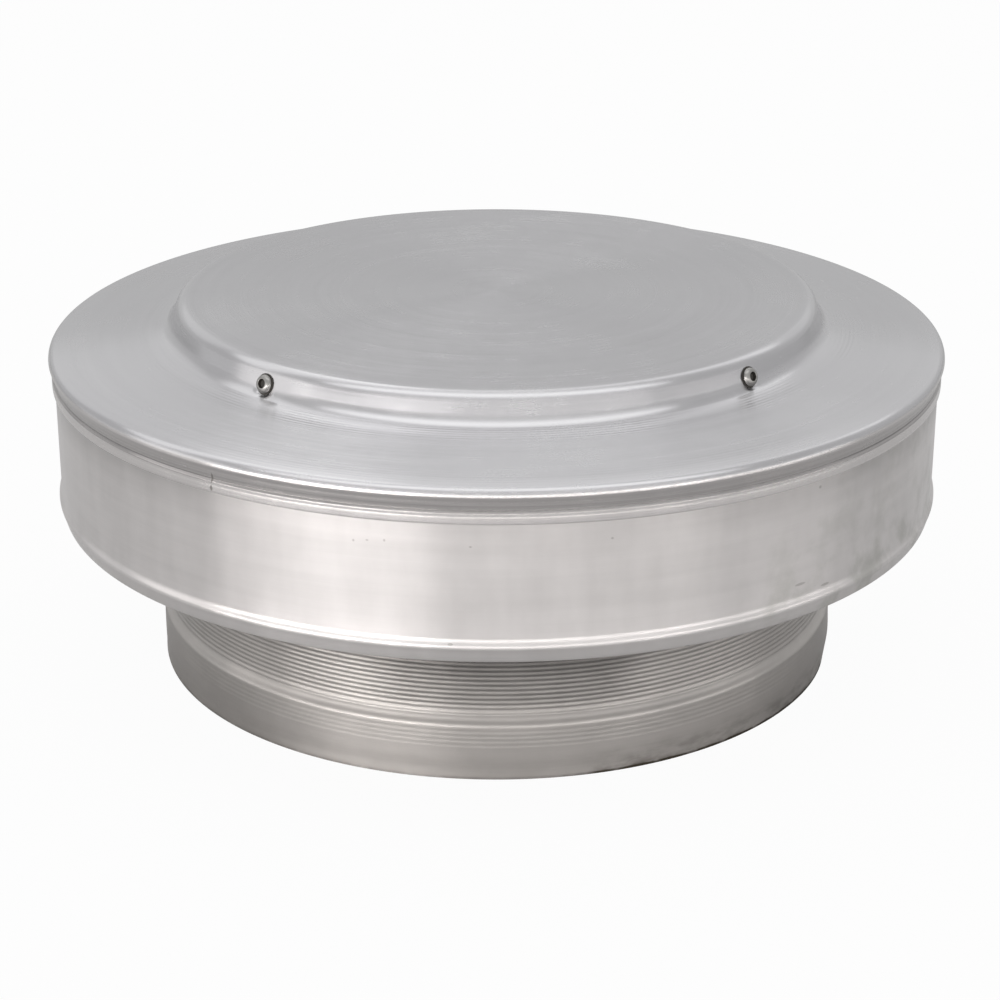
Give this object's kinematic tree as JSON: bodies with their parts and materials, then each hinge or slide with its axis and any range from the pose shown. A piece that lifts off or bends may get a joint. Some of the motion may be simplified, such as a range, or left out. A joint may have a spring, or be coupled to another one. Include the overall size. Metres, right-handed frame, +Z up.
{
  "type": "vent pipe cap",
  "caption": "Round spun aluminium cap with a raised disc, deep skirt and ribbed collar that slips over a roof vent pipe and lets air out under the skirt.",
  "frame": {"origin": "centre of the collar's lower edge, the plane that the cap stands on", "axes": "+Z up along the cap's axis of revolution, -Y towards the front as the picture shows it, +X to the picture's right"},
  "size_m": [0.4254, 0.4254, 0.1763],
  "materials": {
    "spun_aluminium": "mill finish with fine concentric spinning marks, light handling marks",
    "collar_aluminium": "mill finish, rolled grooves, slightly dull and stained",
    "strap_aluminium": "rolled flat bar, satin",
    "rivet_aluminium": "smooth domed heads with an open centre"
  },
  "bodies": {
    "root": {"hood": "spun_aluminium", "skirt_band": "spun_aluminium", "collar": "collar_aluminium", "support_strap_1": "strap_aluminium", "support_strap_2": "strap_aluminium", "support_strap_3": "strap_aluminium", "support_strap_4": "strap_aluminium", "cap_rivet_1": "rivet_aluminium", "cap_rivet_2": "rivet_aluminium", "cap_rivet_3": "rivet_aluminium", "cap_rivet_4": "rivet_aluminium", "collar_rivet_1": "rivet_aluminium", "collar_rivet_2": "rivet_aluminium", "collar_rivet_3": "rivet_aluminium", "collar_rivet_4": "rivet_aluminium"}
  },
  "joints": []
}
